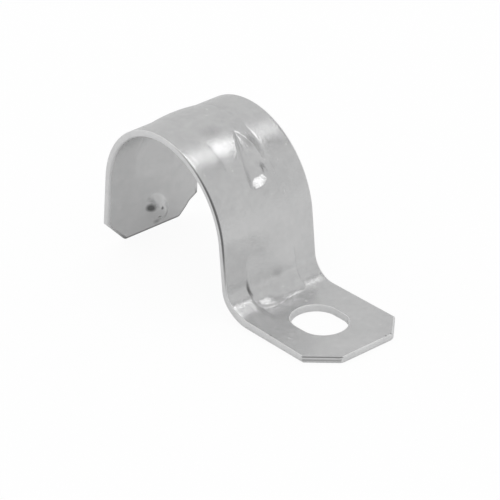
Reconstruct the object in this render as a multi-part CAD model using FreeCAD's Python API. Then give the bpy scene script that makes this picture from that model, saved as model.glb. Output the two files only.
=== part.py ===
import FreeCAD, Part
import math
import os

# One-hole conduit strap, pressed from one strip of zinc-plated steel.
# X runs from the hooked leg to the screw foot, Y along the conduit and Z up from the wall.
# The origin is the middle of the screw slot, on the mounting face.
# Lengths are in millimetres and angles in degrees.

# Conduit and strip
conduit_diameter = 23.42
saddle_clearance = 0.1
sheet_thickness = 1.02
band_width = 15.9
edge_roll = 0.3

# Side profile
clamping_draw = 1.6
hook_splay = 8.1
hook_end_lift = 0.38
leg_splay = 2.7
bend_radius = 3.5
bend_to_slot = 2.15

# Screw slot
slot_width = 6.65
slot_length = 8.4
slot_to_foot_end = 5.25

# Cut corners of the foot and of the hooked leg
foot_front_corner = 3.7
foot_rear_corner = 3.25
foot_corner_round = 1.2
hook_front_cut_width = 3.35
hook_front_cut_rise = 3.7
hook_rear_cut_width = 1.6
hook_rear_cut_rise = 2.05
hook_rear_shelf_width = 0.85
hook_rear_shelf_rise = 0.62
hook_rear_shoulder_width = 0.3
hook_rear_shoulder_rise = 0.7
hook_corner_round = 0.5

# Stiffening bead over the saddle, flat on its crown and sloping at its sides
bead_width = 6.8
bead_crown_width = 2.8
bead_height = 0.27
bead_run_out = 2.6

# Raised heel, where the bead goes down through the bend onto the foot
heel_width = 8.5
heel_height = 0.55
heel_ramp_length = 2.4
heel_end_angle = 71.5
heel_end_bow = 0.2
heel_corner_round = 1.1
heel_wall = 0.55

# Dents that grip the conduit, each with a round deep end and a pointed tail above it
dent_depth = 0.85
dent_width = 3.66
dent_floor_width = 0.9
leg_dent_tail = 4.25
leg_dent_shift = 0.35
leg_dent_angle = 36.5
hook_dent_tail = 3.25
hook_dent_shift = 0.65
hook_dent_height = 3.0

saddle_radius = conduit_diameter / 2 + saddle_clearance
outer_radius = saddle_radius + sheet_thickness
half_sheet = sheet_thickness / 2
half_band = band_width / 2
saddle_height = conduit_diameter / 2 - clamping_draw
# Cutting and joining tools run past the faces that they meet by this much
overrun = sheet_thickness
bead_root = sheet_thickness / 4
# Points nearer than this are one point
same_place = 1e-6

# The bend from the leg to the foot
bend_angle = 90 - leg_splay
bend_centre_height = bend_radius + sheet_thickness
bend_centre_distance = outer_radius + bend_radius
leg_length = (
    saddle_height
    + bend_centre_distance * math.sin(math.radians(leg_splay))
    - bend_centre_height
) / math.cos(math.radians(leg_splay))
bend_centre_reach = bend_centre_distance * math.cos(
    math.radians(leg_splay)
) + leg_length * math.sin(math.radians(leg_splay))
saddle_to_slot = bend_centre_reach + bend_to_slot + slot_length / 2
foot_end = slot_length / 2 + slot_to_foot_end

# The hooked leg stops just above the wall
hook_length = (
    saddle_height
    + saddle_radius * math.sin(math.radians(hook_splay))
    - hook_end_lift
) / math.cos(math.radians(hook_splay))


def direction(angle):
    """Unit vector in the side view, at an angle from +X towards +Z."""
    return FreeCAD.Vector(math.cos(math.radians(angle)), 0, math.sin(math.radians(angle)))


def across(y):
    """Vector of length y along the conduit."""
    return FreeCAD.Vector(0, y, 0)


upright = FreeCAD.Vector(0, 0, 1)
saddle_axis = FreeCAD.Vector(-saddle_to_slot, 0, saddle_height)
bend_centre = FreeCAD.Vector(bend_centre_reach - saddle_to_slot, 0, bend_centre_height)
hook_normal_angle = 180 - hook_splay
hook_normal = direction(hook_normal_angle)
hook_down = direction(hook_normal_angle + 90)
leg_normal = direction(leg_splay)
leg_down = direction(leg_splay - 90)


def saddle_point(offset, angle):
    """Point round the saddle, offset outwards from the face that holds the conduit."""
    return saddle_axis + direction(angle) * (saddle_radius + offset)


def hook_point(offset, height):
    """Point on the hooked leg, at a height along it above its end."""
    return saddle_point(offset, hook_normal_angle) + hook_down * (hook_length - height)


def bend_point(offset, angle):
    """Point in the bend, at an angle past its start on the leg."""
    return bend_centre + direction(180 + leg_splay + angle) * (bend_centre_height - offset)


def bend_arc(offset):
    """Arc of the whole bend at one offset."""
    middle = bend_point(offset, bend_angle / 2)
    return Part.Arc(bend_point(offset, 0), middle, bend_point(offset, bend_angle)).toShape()


def side_edges(offset):
    """One face of the strip in the side view, from the hook's end past the foot's end."""
    hook_end = hook_point(offset, 0)
    hook_top = hook_point(offset, hook_length)
    crown = saddle_point(offset, (hook_normal_angle + leg_splay) / 2)
    leg_top = saddle_point(offset, leg_splay)
    foot_past_end = FreeCAD.Vector(foot_end + overrun, 0, offset)
    return [
        Part.makeLine(hook_end, hook_top),
        Part.Arc(hook_top, crown, leg_top).toShape(),
        Part.makeLine(leg_top, bend_point(offset, 0)),
        bend_arc(offset),
        Part.makeLine(bend_point(offset, bend_angle), foot_past_end),
    ]


def closed_face(edges, chain_ends):
    """Face inside a chain of edges that is closed by a straight line."""
    return Part.Face(Part.Wire(edges + [Part.makeLine(chain_ends[1], chain_ends[0])]))


def plain_strip():
    """The strip bent to its side profile, the foot still square and overlong."""
    inner = side_edges(0)
    outer = side_edges(sheet_thickness)
    hook_cut = Part.makeLine(hook_point(0, 0), hook_point(sheet_thickness, 0))
    foot_cut = Part.makeLine(inner[-1].Vertexes[-1].Point, outer[-1].Vertexes[-1].Point)
    outline = Part.Wire(Part.__sortEdges__(inner + outer + [hook_cut, foot_cut]))
    face = Part.Face(outline)
    face.translate(across(-half_band))
    return face.extrude(across(band_width))


def polygon_prism(points, push):
    """Solid made by pushing a polygon along a vector."""
    return Part.Face(Part.makePolygon(points + [points[0]])).extrude(push)


def rounded_along(shape, axis, radius, keep):
    """Shape with a radius on the straight edges that run along an axis, where keep is true."""
    edges = [
        edge
        for edge in shape.Edges
        if isinstance(edge.Curve, Part.Line)
        and edge.Curve.Direction.cross(axis).Length < same_place
        and keep(edge.CenterOfMass)
    ]
    return shape.makeFillet(radius, edges)


def foot_trim():
    """Plan shape of the foot's end, with two cut corners, as a tall prism."""
    behind = -saddle_to_slot - outer_radius - hook_length
    front_y = -half_band - overrun
    rear_y = half_band + overrun
    corners = [
        FreeCAD.Vector(behind, front_y, 0),
        FreeCAD.Vector(foot_end - foot_front_corner - overrun, front_y, 0),
        FreeCAD.Vector(foot_end, foot_front_corner - half_band, 0),
        FreeCAD.Vector(foot_end, half_band - foot_rear_corner, 0),
        FreeCAD.Vector(foot_end - foot_rear_corner - overrun, rear_y, 0),
        FreeCAD.Vector(behind, rear_y, 0),
    ]
    top = saddle_height + outer_radius + overrun
    prism = polygon_prism(corners, upright * (top + overrun))
    prism.translate(upright * -overrun)
    return rounded_along(prism, upright, foot_corner_round, lambda c: c.x > foot_end - same_place)


def hook_cutter(outline):
    """Prism through the hooked leg, on an outline of (y, height above the leg's end)."""
    points = [hook_point(-overrun, height) + across(y) for y, height in outline]
    return polygon_prism(points, hook_normal * (sheet_thickness + 2 * overrun))


def hook_front_cutter():
    """Waste at the front corner of the hooked leg."""
    past = overrun / hook_front_cut_width
    low_y = -half_band + hook_front_cut_width * (1 + past)
    high_y = -half_band - hook_front_cut_width * past
    low = -hook_front_cut_rise * past
    high = hook_front_cut_rise * (1 + past)
    return hook_cutter([(low_y, low), (high_y, high), (high_y, low)])


def hook_rear_cutter():
    """Waste at the rear corner of the hooked leg, which is cut in three strokes."""
    shoulder_y = half_band - hook_rear_shoulder_width
    shelf_y = shoulder_y - hook_rear_shelf_width
    shelf_height = hook_rear_cut_rise
    shoulder_height = shelf_height + hook_rear_shelf_rise
    below_y = shelf_y - hook_rear_cut_width * (1 + overrun / hook_rear_cut_rise)
    past_y = half_band + overrun
    past_height = shoulder_height + hook_rear_shoulder_rise * (1 + overrun / hook_rear_shoulder_width)
    return hook_cutter(
        [
            (below_y, -overrun),
            (shelf_y, shelf_height),
            (shoulder_y, shoulder_height),
            (past_y, past_height),
            (past_y, -overrun),
        ]
    )


def slot_cutter():
    """Obround through the foot."""
    radius = slot_width / 2
    straight = slot_length - slot_width
    floor = upright * -overrun
    height = sheet_thickness + 2 * overrun
    bar = Part.makeBox(straight, slot_width, height, FreeCAD.Vector(-straight / 2, -radius, -overrun))
    ends = [
        Part.makeCylinder(radius, height, floor + FreeCAD.Vector(side * straight / 2, 0, 0))
        for side in (-1, 1)
    ]
    return bar.fuse(ends).removeSplitter()


def is_broad(face):
    """True for the broad faces of the strip, false for its cut edges."""
    normal = face.normalAt(*face.Surface.parameter(face.Vertexes[0].Point))
    return abs(normal.y) < same_place and face.Area > band_width * sheet_thickness


def rolled_over(strip):
    """The strip with its sheared edges rounded on the side of the conduit and the wall."""
    inner_profile = Part.Wire(side_edges(0))

    def on_inner_side(vertex):
        side_view = Part.Vertex(vertex.X, 0, vertex.Z)
        return side_view.distToShape(inner_profile)[0] < same_place

    owners = {}
    for face in strip.Faces:
        for edge in face.Edges:
            owners.setdefault(edge.hashCode(), (edge, []))[1].append(is_broad(face))
    rims = [edge for edge, broad in owners.values() if sorted(broad) == [False, True]]
    rolled = [edge for edge in rims if all(on_inner_side(vertex) for vertex in edge.Vertexes)]
    return strip.makeFillet(edge_roll, rolled)


def blank():
    """The bent strip with its corners cut, its screw slot, and its edges rolled over."""
    strip = plain_strip().common(foot_trim())
    strip = strip.cut([hook_front_cutter(), hook_rear_cutter()])
    cut_top = hook_point(sheet_thickness, hook_front_cut_rise).z
    strip = rounded_along(
        strip, hook_normal, hook_corner_round, lambda c: c.z < cut_top and abs(c.y) < half_band
    )
    strip = strip.cut(slot_cutter()).removeSplitter()
    return rolled_over(strip)


def bead_section(place, normal, crown, narrowing, floor):
    """Section across the strip, sloping up from a floor offset to a flat crown."""
    half_crown = bead_crown_width / 2 - narrowing
    run = (bead_width - bead_crown_width) / 2 * (crown - floor) / bead_height
    half_floor = half_crown + run
    corners = [
        place + normal * floor - across(half_floor),
        place + normal * crown - across(half_crown),
        place + normal * crown + across(half_crown),
        place + normal * floor + across(half_floor),
    ]
    return Part.Face(Part.makePolygon(corners + [corners[0]]))


def bead(crown, narrowing, floor):
    """Bead run round the saddle and down to the bend, fading out down the hooked leg."""
    leg_top = saddle_point(0, leg_splay)
    section = bead_section(leg_top, leg_normal, crown, narrowing, floor)
    arch = section.revolve(saddle_axis, across(-1), hook_normal_angle - leg_splay)
    leg = section.extrude(leg_down * leg_length)
    hook_top = saddle_point(0, hook_normal_angle)
    hook_section = bead_section(hook_top, hook_normal, crown, narrowing, floor)
    run_out = hook_down * bead_run_out - hook_normal * bead_height
    hook = hook_section.extrude(run_out * (1 + overrun / bead_run_out))
    return arch.fuse([leg, hook])


def heel_outline(top, floor):
    """Side view of the heel between two offsets: a ramp down the leg, then the bend."""
    ramp = (leg_down * heel_ramp_length + leg_normal * heel_height) * ((top - floor) / heel_height)
    ramp_end = bend_point(top, 0)
    ramp_start = ramp_end - ramp
    floor_start = bend_point(floor, 0)
    top_end = bend_point(top, bend_angle)
    floor_end = bend_point(floor, bend_angle)
    edges = [
        Part.makeLine(ramp_start, ramp_end),
        bend_arc(top),
        Part.makeLine(top_end, floor_end),
        bend_arc(floor),
        Part.makeLine(floor_start, ramp_start),
    ]
    return Part.Face(Part.Wire(Part.__sortEdges__(edges)))


def heel(top, floor, inset):
    """Heel solid between two offsets, with a bowed end and round corners in plan."""
    half_width = heel_width / 2 - inset
    outline = heel_outline(top, floor)
    outline.translate(across(-half_width))
    body = outline.extrude(across(2 * half_width))
    tip_x = bend_point(sheet_thickness, heel_end_angle).x - inset
    side_x = tip_x - heel_end_bow
    back_x = -saddle_to_slot
    bottom = upright * -overrun
    front = FreeCAD.Vector(side_x, -half_width, 0) + bottom
    tip = FreeCAD.Vector(tip_x, 0, 0) + bottom
    rear = FreeCAD.Vector(side_x, half_width, 0) + bottom
    rear_back = FreeCAD.Vector(back_x, half_width, 0) + bottom
    front_back = FreeCAD.Vector(back_x, -half_width, 0) + bottom
    plan = Part.Wire(
        [
            Part.Arc(front, tip, rear).toShape(),
            Part.makeLine(rear, rear_back),
            Part.makeLine(rear_back, front_back),
            Part.makeLine(front_back, front),
        ]
    )
    prism = Part.Face(plan).extrude(upright * outer_radius)
    radius = heel_corner_round * half_width / (heel_width / 2)
    prism = rounded_along(prism, upright, radius, lambda c: c.x > back_x)
    return body.common(prism)


def dent_tools(deep, normal, tail, sink, grow):
    """Round end and tail of a dent whose deepest point lies under a point on the surface.

    tail is the vector from that point to the dent's tip. The forms are pushed in by sink and
    their walls moved out by grow, so the same function makes the hollow on one side and the
    bump on the other, at a constant sheet thickness.
    """
    half_width = dent_width / 2
    half_floor = dent_floor_width / 2
    slope = math.atan2(dent_depth, half_width - half_floor)
    # Round end: a cone on the normal, from its floor up past the surface
    floor_radius = half_floor + grow * math.tan(slope / 2)
    rise = dent_depth + overrun
    mouth_radius = floor_radius + rise / math.tan(slope)
    floor_centre = deep - normal * (sink + dent_depth)
    end = Part.makeCone(floor_radius, mouth_radius, rise, floor_centre, normal)
    # Tail: a cone from its tip, whose lowest line reaches the floor at the deepest point
    run = tail.Length
    circle = (half_width**2 + dent_depth**2) / (2 * dent_depth)
    lean = math.atan2(circle - dent_depth, run)
    flare = math.atan2(run * circle, run**2 - dent_depth * (circle - dent_depth))
    axis = normal * math.sin(lean) - tail * (math.cos(lean) / run)
    start = -grow * math.sin(flare)
    start_radius = grow * math.cos(flare)
    sinking = math.tan(flare) * math.cos(lean) - math.sin(lean)
    stop = (grow + dent_depth - grow * math.cos(lean) / math.cos(flare)) / sinking
    stop_radius = start_radius + (stop - start) * math.tan(flare)
    tip = deep + tail + axis * start
    return end, Part.makeCone(start_radius, stop_radius, stop - start, tip, axis)


def under_sheet():
    """Everything on the conduit's side of the middle of the sheet."""
    edges = side_edges(half_sheet)[:3]
    face = closed_face(edges, (hook_point(half_sheet, 0), bend_point(half_sheet, 0)))
    face.translate(across(-half_band))
    return face.extrude(across(band_width))


def dented(strap):
    """The strap with a dent pressed into each leg, which stands up as a bump inside."""
    leg_face = sheet_thickness + bead_height
    leg_deep = saddle_point(leg_face, leg_dent_angle) + across(leg_dent_shift)
    hook_deep = hook_point(sheet_thickness, hook_dent_height) + across(hook_dent_shift)
    leg_dent = (leg_deep, direction(leg_dent_angle), direction(leg_dent_angle + 90) * leg_dent_tail)
    hook_dent = (hook_deep, hook_normal, hook_down * -hook_dent_tail)
    under = under_sheet()
    for deep, normal, tail in (leg_dent, hook_dent):
        bump = dent_tools(deep, normal, tail, sheet_thickness, sheet_thickness)
        strap = strap.fuse([solid.common(under) for solid in bump])
        strap = strap.cut(list(dent_tools(deep, normal, tail, 0, 0)))
    return strap


def conduit_strap():
    """The whole strap."""
    strap = blank()
    bead_slope = math.atan2(bead_height, (bead_width - bead_crown_width) / 2)
    narrowing = sheet_thickness * math.tan(bead_slope / 2)
    strap = strap.fuse(bead(sheet_thickness + bead_height, 0, sheet_thickness - bead_root))
    strap = strap.fuse(heel(sheet_thickness + heel_height, half_sheet, 0))
    strap = strap.cut(bead(bead_height, narrowing, -bead_root))
    strap = strap.cut(heel(heel_height, -half_sheet, heel_wall))
    return dented(strap)


os.makedirs("parts", exist_ok=True)
strap = conduit_strap()
strap.exportStep("parts/strap.step")
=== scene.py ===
import math
import bmesh
import bpy
from mathutils import Matrix, Vector


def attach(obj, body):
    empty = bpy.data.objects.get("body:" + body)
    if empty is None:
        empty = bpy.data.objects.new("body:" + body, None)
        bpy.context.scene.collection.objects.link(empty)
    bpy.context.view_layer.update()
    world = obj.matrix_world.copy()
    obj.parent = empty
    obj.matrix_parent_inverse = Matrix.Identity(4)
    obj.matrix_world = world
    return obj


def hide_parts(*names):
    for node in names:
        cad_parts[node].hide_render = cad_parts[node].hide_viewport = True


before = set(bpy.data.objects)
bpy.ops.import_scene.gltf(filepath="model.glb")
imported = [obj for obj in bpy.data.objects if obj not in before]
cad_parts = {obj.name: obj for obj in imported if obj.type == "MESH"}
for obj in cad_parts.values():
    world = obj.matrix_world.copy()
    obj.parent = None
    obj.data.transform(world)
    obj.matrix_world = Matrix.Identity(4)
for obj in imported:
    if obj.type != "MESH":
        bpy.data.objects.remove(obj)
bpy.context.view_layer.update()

# The strap. A real one starts as a blank of steel strip, sheared to length, with its corners
# cropped and its screw slot punched. Here the blank lies flat, in millimetres: S runs along it
# from the hooked leg's end to the foot's end, Y along the conduit and W through the sheet.
MM = 0.001
sheet = 1.02
half_band = 7.95
hook_leg = 11.509
saddle_radius = 11.81
saddle_turn = 169.2
leg_run = 6.366
bend_radius = 4.52
bend_turn = 87.3
foot_run = 15.8
saddle_run = saddle_radius * math.radians(saddle_turn)
bend_run = bend_radius * math.radians(bend_turn)
foot_start = hook_leg + saddle_run + leg_run + bend_run
strip_length = foot_start + foot_run

# The hooked leg's front corner is cropped straight, and its rear corner in three uneven cuts.
hook_crop_run = 3.7
hook_crop_across = 3.35
hook_rear_crop = [(0, 5.15), (1.45, 6.4), (2.05, 6.75), (3.0, half_band)]
foot_front_crop = 3.7
foot_rear_crop = 3.25
outline = [
    (0, hook_crop_across - half_band), *hook_rear_crop,
    (strip_length - foot_rear_crop, half_band), (strip_length, half_band - foot_rear_crop),
    (strip_length, foot_front_crop - half_band), (strip_length - foot_front_crop, -half_band),
    (hook_crop_run, -half_band),
]
blank = bmesh.new()
corners = [blank.verts.new((s, y, 0)) for s, y in outline]
blank.faces.new(corners)


def blunt_corners(which, offset, segments):
    """Blunts some corners of the flat outline."""
    bmesh.ops.bevel(
        blank, geom=which, offset=offset, offset_type="OFFSET", affect="VERTICES",
        segments=segments, profile=0.5, material=-1,
    )


hook_corners = [v for v in corners if v.co.x < hook_rear_crop[-1][0]]
foot_corners = [v for v in corners if v.co.x > strip_length - foot_rear_crop / 2]
blunt_corners(hook_corners, offset=0.3, segments=4)
blunt_corners(foot_corners, offset=0.5, segments=6)

# The screw slot is a punched hole with a round end each way along the strip.
slot_to_end = 9.45
slot_at = strip_length - slot_to_end
slot_straight = 1.75
slot_round = 3.325
slot = bmesh.ops.create_circle(blank, cap_ends=False, segments=72, radius=slot_round)["verts"]
for v in slot:
    side = 0 if abs(v.co.x) < 1e-4 else math.copysign(slot_straight / 2, v.co.x)
    v.co.x += slot_at + side
bmesh.ops.delete(blank, geom=blank.faces[:], context="FACES_ONLY")
bmesh.ops.triangle_fill(blank, edges=blank.edges[:], use_beauty=True)
inner_edges = [e for e in blank.edges if len(e.link_faces) == 2]
bmesh.ops.dissolve_limit(
    blank, angle_limit=0.01, use_dissolve_boundaries=False, verts=[], edges=inner_edges,
    delimit=set(),
)

# A rim along every sheared edge stays clear of most rows, so that the edge can be rolled evenly.
rim_width = 0.55
bmesh.ops.inset_region(
    blank, faces=blank.faces[:], thickness=rim_width, use_boundary=True, use_even_offset=True,
)
on_rim = blank.faces.layers.int.new("on_rim")
for face in blank.faces:
    face[on_rim] = any(len(e.link_faces) == 1 for e in face.edges)


def rows(start, end, step):
    """Evenly spaced places from start to end, as near to step apart as will fit."""
    count = max(1, round((end - start) / step))
    return [start + (end - start) * i / count for i in range(count)]


def score(place, normal, rim_too):
    """Cuts the blank along one line, so that it can bend and stretch there."""
    faces = [f for f in blank.faces if rim_too or not f[on_rim]]
    edges = {e for f in faces for e in f.edges}
    ends = {v for f in faces for v in f.verts}
    bmesh.ops.bisect_plane(
        blank, geom=[*faces, *edges, *ends], dist=1e-4, plane_co=place, plane_no=normal
    )


# Rows of edges for the pressed forms, close together where the press works the metal. Those
# that bend round the saddle and the heel run out through the rim.
first_row = 0.7
last_row = strip_length - 0.6
hook_dent_end = 7
leg_dent_start = 32.6
leg_dent_end = 41.6
heel_start = 48
past_bend = foot_start + 0.4
hook_rows = rows(first_row, hook_dent_end, step=0.16)
foot_rows = rows(past_bend, last_row, step=0.8)
for s in hook_rows + foot_rows:
    score((s, 0, 0), normal=(1, 0, 0), rim_too=False)
saddle_rows = rows(hook_dent_end, leg_dent_start, step=0.4)
leg_dent_rows = rows(leg_dent_start, leg_dent_end, step=0.14)
leg_rows = rows(leg_dent_end, heel_start, step=0.33)
heel_rows = rows(heel_start, past_bend, step=0.14)
for s in saddle_rows + leg_dent_rows + leg_rows + heel_rows:
    score((s, 0, 0), normal=(1, 0, 0), rim_too=True)

# Three rows beside the cropped corners keep their painted shade and dark lines from running along
# the edges.
past_hook_crop = 4.2
past_foot_crop = strip_length - 4.1
beside_foot_crop = -4.0
for s in (past_hook_crop, past_foot_crop):
    score((s, 0, 0), normal=(1, 0, 0), rim_too=True)
score((strip_length, beside_foot_crop, 0), normal=(0, 1, 0), rim_too=True)

pressed_half = 4.95
half_across = rows(0, pressed_half, step=0.15) + rows(pressed_half, half_band, step=0.5)
for y in sorted({round(side * y, 4) for side in (-1, 1) for y in half_across}):
    score((0, y, 0), normal=(0, 1, 0), rim_too=False)
bmesh.ops.remove_doubles(blank, verts=blank.verts[:], dist=0.04)

# The sheet's thickness, with one row of edges half way through the cut. Shearing and forming
# roll the cut's edges over, the most on the conduit's side, where the roll is also flattened.
lower = blank.faces[:]
raised = bmesh.ops.extrude_face_region(blank, geom=lower, use_keep_orig=True)["geom"]
bmesh.ops.translate(
    blank, verts=[g for g in raised if isinstance(g, bmesh.types.BMVert)], vec=(0, 0, sheet)
)
bmesh.ops.recalc_face_normals(blank, faces=blank.faces[:])
upright_edges = [e for e in blank.edges if abs(e.verts[0].co.z - e.verts[1].co.z) > sheet / 2]
bmesh.ops.subdivide_edges(blank, edges=upright_edges, cuts=1, use_grid_fill=True)


def sheared_edge(e, level):
    """Whether an edge is a sharp one at this level of the sheet."""
    at_level = all(abs(v.co.z - level) < 1e-4 for v in e.verts)
    return at_level and len(e.link_faces) == 2 and e.calc_face_angle(0) > 1


def on_slot(e):
    """Whether an edge is one of the screw slot's."""
    at = e.verts[0].co
    return max(abs(at.x - slot_at) - slot_straight, abs(at.y)) <= slot_round + 0.1


def roll_edges(which, offset, segments):
    """Rounds sheared edges over."""
    bmesh.ops.bevel(
        blank, geom=which, offset=offset, offset_type="OFFSET", affect="EDGES",
        segments=segments, profile=0.5, material=-1,
    )


lower_roll = 0.48
upper_roll = 0.19
flattened = 0.55
lower_edges = [e for e in blank.edges if sheared_edge(e, 0) and not on_slot(e)]
roll_edges(lower_edges, lower_roll, segments=5)
upper_edges = [e for e in blank.edges if sheared_edge(e, sheet)]
roll_edges(upper_edges, upper_roll, segments=4)
for v in blank.verts:
    if 0 < v.co.z < lower_roll + 1e-3:
        v.co.z *= flattened

# The faces that the shear or the punch has cut, or a roll has tilted, are marked for the finish.
level_face = 0.985
sheared = blank.faces.layers.float.new("sheared")
for face in blank.faces:
    face.normal_update()
    face[sheared] = abs(face.normal.z) < level_face

# Where each point lay in the flat is kept, so that the rolled grain can follow the bends.
flat_place = blank.verts.layers.float_vector.new("flat_place")
for v in blank.verts:
    v[flat_place] = v.co * MM


def eased(t):
    """Smooth step from 0 to 1."""
    t = min(1, max(0, t))
    return t * t * (3 - 2 * t)


# The stiffening bead is a shallow arched rib pressed outwards along the middle of the strip, with
# a fine crease down each side. It fades out on the hooked leg, and the heel takes over from it.
bead_half = 3.45
bead_height = 0.27
bead_fade = 2.6
crease_depth = 0.05
crease_half = 0.15
front_crease_share = 0.6
rear_crease_end = 42
rear_crease_fade = 3


def bead_rise(s, y):
    """Height of the bead at a place on the flat strip."""
    strength = eased((s - hook_leg + bead_fade) / bead_fade)
    crease = max(0, 1 - abs(abs(y) - bead_half) / crease_half)
    crease *= front_crease_share if y < 0 else eased((rear_crease_end - s) / rear_crease_fade)
    return strength * (bead_height * max(0, 1 - (y / bead_half) ** 2) - crease_depth * crease)


# The heel is a flat-topped boss, a little wider than the bead, that stiffens the bend like a
# gusset. It stands proudest where the bend begins, is lower along its front side, and dies away
# just short of the foot.
heel_half = 4.35
heel_height = 0.56
heel_wall = 0.45
heel_front_fall = 0.5
heel_fade_in = (48.8, 53.2)
heel_crest = 54.4
heel_end = 58.55
heel_fullness = 1.3

# Its end is rounded at both corners. Each has a start across the strip, a width and a run.
heel_front_corner = (1.3, 3.1, 2.4)
heel_rear_corner = (2.9, 1.5, 1.6)

# The press also draws its front corner out into a low lobe.
drawn_at = 57.3
drawn_height = 0.18
drawn_tilt = 0.08
drawn_fall = 0.085
drawn_side = 0.8
drawn_fade = 3.4
drawn_lip = 0.6
drawn_blend = 0.04


def heel_reach(y):
    """Where along the strip the heel ends, at a place across it."""
    start, width, run = heel_front_corner if y < 0 else heel_rear_corner
    t = min(1, max(0, (abs(y) - start) / width))
    return heel_end - run * (1 - math.sqrt(1 - t * t))


def heel_rise(s, y):
    """Height of the heel at a place on the flat strip."""
    reach = heel_reach(y)
    t = max(0, (s - heel_crest) / (reach - heel_crest))
    fallen = 1 - heel_front_fall * (y / heel_half) ** 2 if y < 0 else 1
    top = heel_height * fallen * max(0, 1 - t * t) ** heel_fullness
    lobe = max(0, drawn_height + drawn_tilt * (y + heel_half) - drawn_fall * (s - drawn_at) ** 2)
    lobe *= eased((drawn_side - y) / drawn_fade) * eased((reach + drawn_lip - s) / drawn_lip)
    blended = (top + lobe + math.sqrt((top - lobe) ** 2 + drawn_blend * top)) / 2
    return blended * eased((heel_half - abs(y)) / heel_wall)


# Two dents grip the conduit. A round-nosed punch is driven in aslant, so that each runs up the
# strip to a point from its deepest line and ends in a short crescent below it. Its left wall is
# round, and its right one drops from a sloping floor, less steeply half way up the tail.
dent_depth = 0.85
tail_taper = 2.2
tail_fall = 0.65
left_roundness = 1.2
crescent_curl = 0.8
floor_slope = 0.5
wall_drop = 2.5
wall_slack = 1.3
slack_in = 2
slack_end = 2.6
slack_out = 1.6


def dent_fall(up, side, tail, nose, left, right, lean):
    """Share of the full depth at a place up from the deepest line and to the side."""
    side -= lean * max(0, up)
    half_width = right if side > 0 else left
    width = half_width * max(0, 1 - (max(0, up) / tail) ** tail_taper) + 1e-6
    t = min(1, abs(side) / width)
    if side > 0:
        slack = eased(up / slack_in) * (1 - eased((up - slack_end) / slack_out))
        across = min(1 - floor_slope * t, (1 - t) * (wall_drop - wall_slack * slack))
        ahead = across * (1 + up / (nose * math.sqrt(1 - t * t) + 1e-6))
    else:
        across = (1 - t * t) ** left_roundness
        ahead = min(across, 1 + up / nose * (1 + crescent_curl * t ** 4))
    if up < 0:
        return max(0, ahead)
    return (1 - min(1, up / tail)) ** tail_fall * across


# Inside the strap each dent stands up as a blunt bump, whose ridge leans across the strip.
bump_lean = 0.36
bump_up = 2.7
bump_down = 2.65
bump_left = 2.5
bump_right = 1.95
bump_wall = 0.8
bump_roundness = 0.4


def bump_rise(up, y, at_y):
    """Share of the bump's full height on the conduit's side of the sheet."""
    ridge = at_y - bump_lean * up
    length = bump_up if up > 0 else bump_down
    half_width = bump_left if y < ridge else bump_right
    reach = math.hypot(up / length, (y - ridge) / half_width)
    t = min(1, max(0, 1 - reach) / bump_wall)
    return (1 - bump_roundness) * t + bump_roundness * eased(t)


leg_dent_at = 39.5
leg_dent_y = 0.27
leg_dent_slant = 0.12
leg_bump_y = 0.1
hook_dent_at = 3.0
hook_dent_y = 0.65
hook_bump_at = 3.45
hook_bump_y = 0.95
hook_bump_share = 1.4
outer_stretch = (saddle_radius + sheet) / saddle_radius


def press(s, y, w):
    """How far the press moves a point out from the conduit."""
    if abs(y) > pressed_half:
        return 0
    taken_over = eased((s - heel_fade_in[0]) / (heel_fade_in[1] - heel_fade_in[0]))
    rise = (1 - taken_over) * bead_rise(s, y) + taken_over * heel_rise(s, y)
    up_leg = (leg_dent_at - s) * outer_stretch - leg_dent_slant * (y - leg_dent_y)
    outside = dent_fall(
        up_leg, y - leg_dent_y, tail=7.2, nose=1.5, left=1.82, right=1.95, lean=0.12
    )
    outside += dent_fall(
        s - hook_dent_at, y - hook_dent_y, tail=3.6, nose=1.6, left=1.8, right=1.8, lean=0.1
    )
    inside = bump_rise(leg_dent_at - s, y, leg_bump_y)
    inside += hook_bump_share * bump_rise(s - hook_bump_at, y, hook_bump_y)
    through = w / sheet
    return rise - dent_depth * (outside * through + inside * (1 - through))


# Bending leaves its own marks: the bend's front corner stays fuller than a true arc, the most on
# the outside, and the hooked leg's rear edge spreads outwards.
full_height = 0.56
full_start = 53.7
full_rise = 4.2
full_end = 63.6
full_fall = 6
full_from = 3.6
full_wall = 1.1
full_inside = 0.4
spread_out = 0.36
spread_end = 17
spread_fade = 9
spread_curl = 6


def settle(s, y, w):
    """How far the bend's front corner stands proud of a true arc."""
    along = eased((s - full_start) / full_rise) * eased((full_end - s) / full_fall)
    fill = along * eased((-y - full_from) / full_wall)
    return full_height * fill * (full_inside + (1 - full_inside) * w / sheet)


def spread(s, y):
    """How far the hooked leg's rear edge has spread outwards."""
    return spread_out * eased((spread_end - s) / spread_fade) * max(0, y / half_band) ** spread_curl


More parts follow.
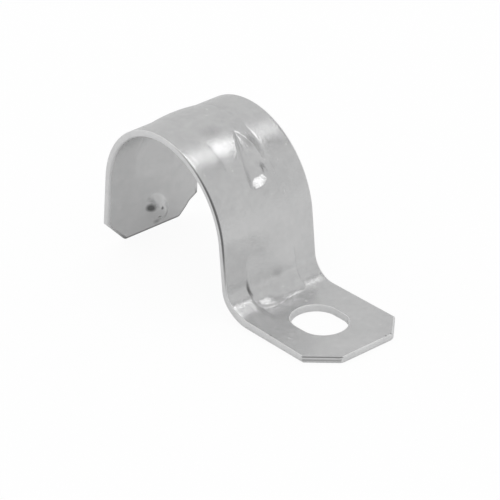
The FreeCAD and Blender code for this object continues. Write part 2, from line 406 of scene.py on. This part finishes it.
# Painted shade on the lower roll round the hooked leg's end and the foot stands in for the floor's
# contact shadow reflected in it. Two dark lines mark the cut of the foot's cropped front corner:
# one under its upper edge and one half way down.
hook_roll_shade = 0.55
hook_roll_shade_end = 3.4
foot_roll_shade = 0.35
crop_edge_line_darkness = 0.65
crop_edge_height = 0.17
crop_edge_reach = 0.3
crop_middle_line_darkness = 0.5
crop_middle_reach = 0.1
roll_shade_and_cut_lines = blank.verts.layers.float.new("roll_shade_and_cut_lines")
for v in blank.verts:
    s, y, w = v.co
    in_lower_roll = 1e-3 < w < lower_roll / 2
    off_crop = abs(strip_length - s + y + half_band - foot_front_crop)
    in_upper_roll = sheet - crop_edge_height < w < sheet - 1e-3
    under_crop_edge = off_crop < crop_edge_reach and in_upper_roll
    half_way_down = off_crop < crop_middle_reach and abs(w - sheet / 2) < 0.01
    # Painted shade on the lower roll round the hook's end and the foot, then the cut's two dark
    # lines.
    v[roll_shade_and_cut_lines] = in_lower_roll * (hook_roll_shade * (s < hook_roll_shade_end) + foot_roll_shade * (s > foot_start))
    v[roll_shade_and_cut_lines] += crop_edge_line_darkness * under_crop_edge + crop_middle_line_darkness * half_way_down
    v.co.z += press(s, y, w) + settle(s, y, w)
    v.co.y += spread(s, y)

# The forming press bends the strip round the saddle and turns the foot out flat. From here on
# the places are the frame's: X from the screw slot's middle, and Z up from the wall.
turns = [
    (hook_leg, 0), (saddle_run, -saddle_turn), (leg_run, 0), (bend_run, bend_turn), (foot_run, 0),
]
hook_end_x = -36.2756
hook_end_z = 0.38
hook_facing = 171.9


def formed(s, lift):
    """Side-view place of a point of the strip, after forming."""
    x, z, facing = hook_end_x, hook_end_z, math.radians(hook_facing)
    for run, turn in turns:
        turn = math.radians(turn)
        part = min(s, run)
        swing = turn * part / run
        if turn:
            radius = run / turn
            x -= radius * (math.cos(facing + swing) - math.cos(facing))
            z -= radius * (math.sin(facing + swing) - math.sin(facing))
        else:
            x += part * math.sin(facing)
            z -= part * math.cos(facing)
        facing += swing
        s -= part
    return x + lift * math.cos(facing), z + lift * math.sin(facing)


for v in blank.verts:
    x, z = formed(v.co.x, v.co.z)
    v.co = Vector((x, v.co.y, z)) * MM
bmesh.ops.recalc_face_normals(blank, faces=blank.faces[:])
crisp_fold = math.radians(38)
for face in blank.faces:
    face.smooth = True
for edge in blank.edges:
    if edge.calc_face_angle(0) > crisp_fold:
        edge.smooth = False

strap_mesh = bpy.data.meshes.new("strap_sheet")
blank.to_mesh(strap_mesh)
blank.free()
strap = bpy.data.objects.new("strap_sheet", strap_mesh)
bpy.context.scene.collection.objects.link(strap)

# The strap's finish is bright zinc plate over rolled steel: a cool grey metal, faintly mottled,
# with fine drawn lines along the strip. It is duller and less metallic where the shear cut it.
zinc = bpy.data.materials.new("zinc_plate")
zinc.use_nodes = True
nodes = zinc.node_tree.nodes
links = zinc.node_tree.links
surface = nodes["Principled BSDF"]


def add(kind, **settings):
    """One more node of the material or world in hand."""
    node = nodes.new(kind)
    for name, value in settings.items():
        setattr(node, name, value)
    return node


def stretched(vector, scale):
    """The pattern's place, drawn out by a scale on each axis."""
    mapping = add("ShaderNodeMapping")
    mapping.inputs["Scale"].default_value = scale
    links.new(vector, mapping.inputs["Vector"])
    return mapping.outputs["Vector"]


def cloud(vector, scale, detail, roughness):
    """Fractal noise at a scale in patches to the metre."""
    node = add("ShaderNodeTexNoise")
    node.inputs["Scale"].default_value = scale
    node.inputs["Detail"].default_value = detail
    node.inputs["Roughness"].default_value = roughness
    links.new(vector, node.inputs["Vector"])
    return node.outputs["Fac"]


def ranged(value, low, high, new_low, new_high):
    """Maps a value from one range onto another."""
    node = add("ShaderNodeMapRange")
    for socket, number in zip(node.inputs[1:5], (low, high, new_low, new_high)):
        socket.default_value = number
    links.new(value, node.inputs["Value"])
    return node.outputs["Result"]


def joined(operation, a, b):
    """The sum or the product of a value and another value or number."""
    node = add("ShaderNodeMath", operation=operation)
    for socket, value in zip(node.inputs, (a, b)):
        if isinstance(value, float):
            socket.default_value = value
        else:
            links.new(value, socket)
    return node.outputs["Value"]


def weighed(*patterns):
    """Patterns added up, each times its weight."""
    parts = [joined("MULTIPLY", pattern, weight) for pattern, weight in patterns]
    total = parts[0]
    for part in parts[1:]:
        total = joined("ADD", total, part)
    return total


flat = add("ShaderNodeAttribute", attribute_name="flat_place").outputs["Vector"]
place = add("ShaderNodeTexCoord").outputs["Object"]
mottle = cloud(place, scale=900, detail=6, roughness=0.65)
patches = cloud(place, scale=190, detail=3, roughness=0.5)
speckle = cloud(place, scale=3600, detail=4, roughness=0.7)
grain = cloud(stretched(flat, (260, 4200, 900)), scale=1, detail=4, roughness=0.6)
brushed = cloud(stretched(flat, (3800, 330, 900)), scale=1, detail=3, roughness=0.6)

darker_zinc = (0.71, 0.712, 0.715, 1)
paler_zinc = (0.83, 0.83, 0.83, 1)
tone = add("ShaderNodeValToRGB")
for stop, position, colour in zip(tone.color_ramp.elements, (0.3, 0.72), (darker_zinc, paler_zinc)):
    stop.position = position
    stop.color = colour
links.new(weighed((mottle, 0.55), (patches, 0.45)), tone.inputs["Fac"])


def shade_and_dirt_spot(s, y, w, near, far, drawn_out=1.0):
    """Falls from 1 to 0 between two distances, in millimetres, from a place on the flat strip."""
    span = add("ShaderNodeVectorMath", operation="DISTANCE")
    span.inputs[1].default_value = (s / drawn_out * MM, y * MM, w * MM)
    links.new(stretched(flat, (1 / drawn_out, 1, 1)), span.inputs[0])
    return ranged(span.outputs["Value"], near * MM, far * MM, 1, 0)


# Dark marks, each with its darkness: small pits and scuffs left by the press and the tumbling
# barrel, broader darker spots, a dark line along the leg's front edge, and three patches of painted
# shade, each noted. First come those inside the hooked leg, then those outside from the saddle to
# the foot's end.
front_edge = -half_band
marks = [
    # Painted shadow: the dark crescent just outside the bump's lower corner.
    (0.4, shade_and_dirt_spot(1.1, 0.9, 0, 0.1, 0.75)),
    (0.7, shade_and_dirt_spot(2.27, 0.8, 0, 0.08, 0.32)),
    (0.75, shade_and_dirt_spot(3.94, 0.9, 0, 0.08, 0.32)),
    (0.75, shade_and_dirt_spot(4.2, -0.7, 0, 0.35, 0.8)),
    (0.14, shade_and_dirt_spot(31.8, -1.8, sheet, 0.3, 2.0)),
    # Painted reflection: a dark patch on the bead's rear half, just below the lamp's highlight
    # band.
    (0.16, shade_and_dirt_spot(35.0, 2.2, sheet, 0.3, 1.2)),
    (0.78, shade_and_dirt_spot(42.5, front_edge, sheet, 0.15, 0.3, drawn_out=40)),
    (0.16, shade_and_dirt_spot(53.2, 0.6, sheet, 0.2, 1.1)),
    # Painted shade down the crease at the foot of the heel's front wall.
    (0.75, shade_and_dirt_spot(54.2, -4.3, sheet + 0.1, 0.1, 0.3, drawn_out=7)),
    (0.6, shade_and_dirt_spot(64.9, front_edge + 0.3, sheet, 0.05, 0.2)),
    (0.6, shade_and_dirt_spot(75.2, 3.6, sheet, 0.05, 0.2)),
    (0.6, shade_and_dirt_spot(75.2, 4.5, sheet, 0.05, 0.18)),
]
# The painted roll shade and the cut's dark lines, then each mark below, darken the plate's tone.
shade_and_dirt_factor = ranged(add("ShaderNodeAttribute", attribute_name="roll_shade_and_cut_lines").outputs["Fac"], 0, 1, 1, 0)
for darkness, mark in marks:
    shade_and_dirt_factor = joined("MULTIPLY", ranged(mark, 0, 1, 1, 1 - darkness), shade_and_dirt_factor)
shaded_and_soiled = add("ShaderNodeMix", data_type="RGBA", blend_type="MULTIPLY")
shaded_and_soiled.inputs["Factor"].default_value = 1
links.new(tone.outputs["Color"], shaded_and_soiled.inputs["A"])
links.new(shade_and_dirt_factor, shaded_and_soiled.inputs["B"])
links.new(shaded_and_soiled.outputs["Result"], surface.inputs["Base Color"])

plate_roughness = (0.17, 0.29)
cut_added_roughness = 0.22
plate_metallic = 0.92
cut_metallic = 0.45
dull = ranged(weighed((grain, 0.4), (mottle, 0.6)), 0.3, 0.7, *plate_roughness)
cut = add("ShaderNodeAttribute", attribute_name="sheared").outputs["Fac"]
cut_dullness = joined("MULTIPLY", cut, cut_added_roughness)
links.new(joined("ADD", dull, cut_dullness), surface.inputs["Roughness"])
links.new(ranged(cut, 0, 1, plate_metallic, cut_metallic), surface.inputs["Metallic"])

bump_metres = 0.000034
bump = add("ShaderNodeBump")
bump.inputs["Strength"].default_value = 1.0
bump.inputs["Distance"].default_value = bump_metres
relief = weighed((grain, 0.25), (mottle, 0.85), (speckle, 0.65), (brushed, 0.15))
links.new(relief, bump.inputs["Height"])
links.new(bump.outputs["Normal"], surface.inputs["Normal"])
strap_mesh.materials.append(zinc)

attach(strap, "root")
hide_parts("strap")

# The floor is a sheet of pale paper that runs on as a backdrop. It looks white to the camera and
# keeps the strap's soft shadow, which a share of plain glow makes fainter in the metal.
floor_mesh = bpy.data.meshes.new("floor")
floor_form = bmesh.new()
bmesh.ops.create_grid(floor_form, x_segments=1, y_segments=1, size=3)
floor_form.to_mesh(floor_mesh)
floor_form.free()
floor = bpy.data.objects.new("floor", floor_mesh)
bpy.context.scene.collection.objects.link(floor)

paper_colour = (0.62, 0.62, 0.62, 1)
paper_roughness = 0.9
glow_in_metal = 0.66
glow_to_camera = 1.03
glow_share_to_camera = 0.9
glow_share_in_metal = 0.35
paper = bpy.data.materials.new("white_paper")
paper.use_nodes = True
nodes = paper.node_tree.nodes
links = paper.node_tree.links
matt = nodes["Principled BSDF"]
matt.inputs["Base Color"].default_value = paper_colour
matt.inputs["Roughness"].default_value = paper_roughness
seen = add("ShaderNodeLightPath")
by_camera = seen.outputs["Is Camera Ray"]
by_metal = seen.outputs["Is Glossy Ray"]
glow = add("ShaderNodeEmission")
links.new(ranged(by_camera, 0, 1, glow_in_metal, glow_to_camera), glow.inputs["Strength"])
share = weighed((by_camera, glow_share_to_camera), (by_metal, glow_share_in_metal))
blend = add("ShaderNodeMixShader")
links.new(share, blend.inputs["Fac"])
links.new(matt.outputs[0], blend.inputs[1])
links.new(glow.outputs[0], blend.inputs[2])
links.new(blend.outputs[0], nodes["Material Output"].inputs["Surface"])
floor_mesh.materials.append(paper)

# Plain studio light: a bright room all round, dimmer in the metal, and one wide lamp high behind
# the strap. Dark cards that the camera doesn't see are there for the metal to reflect.
room_light = 1.08
room_in_metal = 0.59
room = bpy.data.worlds.new("studio")
bpy.context.scene.world = room
room.use_nodes = True
nodes = room.node_tree.nodes
links = room.node_tree.links
walls = nodes["Background"]
walls.inputs["Color"].default_value = (1, 1, 1, 1)
by_metal = add("ShaderNodeLightPath").outputs["Is Glossy Ray"]
links.new(ranged(by_metal, 0, 1, room_light, room_in_metal), walls.inputs["Strength"])

strap_middle = Vector((-0.014, 0, 0.01))


def facing_strap(thing, towards, distance):
    """Stands a lamp or a card in one direction from the strap, turned to face it."""
    aim = Vector(towards).normalized()
    thing.location = strap_middle + aim * distance
    across_it = Vector((1, 0, 0)) - aim * aim.x
    across_it.normalize()
    thing.rotation_euler = Matrix((across_it, aim.cross(across_it), aim)).transposed().to_euler()


lamp = bpy.data.lights.new("softbox", "AREA")
lamp.shape = "RECTANGLE"
lamp.size = 0.1
lamp.size_y = 0.25
lamp.energy = 0.21
softbox = bpy.data.objects.new("softbox", lamp)
softbox_towards = (0.055, 0.365, 0.93)
softbox_distance = 0.6
facing_strap(softbox, softbox_towards, softbox_distance)
bpy.context.scene.collection.objects.link(softbox)

black_card = bpy.data.materials.new("black_card")
black_card.use_nodes = True
card_surface = black_card.node_tree.nodes["Principled BSDF"]
card_surface.inputs["Base Color"].default_value = (0.04, 0.04, 0.04, 1)


def card(name, towards, distance, width, height, border=0):
    """A dark card that the metal can reflect. One with a border is cut out inside it."""
    form = bmesh.new()
    bmesh.ops.create_grid(form, x_segments=1, y_segments=1, size=0.5)
    for corner in form.verts:
        corner.co.x *= width
        corner.co.y *= height
    if border:
        ring = bmesh.ops.inset_individual(form, faces=form.faces[:], thickness=border)["faces"]
        middle = [f for f in form.faces if f not in ring]
        bmesh.ops.delete(form, geom=middle, context="FACES")
    mesh = bpy.data.meshes.new(name)
    form.to_mesh(mesh)
    form.free()
    mesh.materials.append(black_card)
    board = bpy.data.objects.new(name, mesh)
    facing_strap(board, towards, distance)
    board.visible_camera = False
    board.visible_shadow = False
    bpy.context.scene.collection.objects.link(board)


card("softbox_rim", softbox_towards, distance=0.605, width=0.18, height=0.33, border=0.04)
card("flag", (0.245, 0.56, 0.79), distance=0.6, width=0.05, height=0.2)
card("low_flag", (0.06, 0.69, 0.72), distance=0.6, width=0.16, height=0.09)
card("camera_card", (0.681, -0.548, 0.485), distance=0.47, width=0.17, height=0.17)

# The camera stands far off with a long lens, as the photograph's did. Its place is in band widths
# from a point between the conduit's middle and the foot, and its lens in the picture's pixels.
band = 2 * half_band * MM
conduit_x = -22.9618 * MM
aimed_at = Vector((conduit_x + 0.6 * band, 0, 0.5 * band))
azimuth = math.radians(51.171)
elevation = math.radians(29.045)
roll = math.radians(-2.253)
shift_right = -0.029
shift_up = -0.093
stand_off = 28.151
back = Vector((
    math.sin(azimuth) * math.cos(elevation),
    -math.cos(azimuth) * math.cos(elevation),
    math.sin(elevation),
))
level_right = Vector((math.cos(azimuth), math.sin(azimuth), 0))
level_up = back.cross(level_right)
right = level_right * math.cos(roll) + level_up * math.sin(roll)
up = level_up * math.cos(roll) - level_right * math.sin(roll)
picture_pixels = 500
focal_pixels = 3305.43
lens = bpy.data.cameras.new("camera")
lens.sensor_width = 36
lens.lens = focal_pixels / picture_pixels * lens.sensor_width
lens.clip_start = 0.01
camera = bpy.data.objects.new("camera", lens)
camera.rotation_euler = Matrix((right, up, back)).transposed().to_euler()
camera.location = aimed_at + (right * shift_right + up * shift_up + back * stand_off) * band
bpy.context.scene.collection.objects.link(camera)
bpy.context.scene.camera = camera
bpy.context.scene.view_settings.view_transform = "Standard"
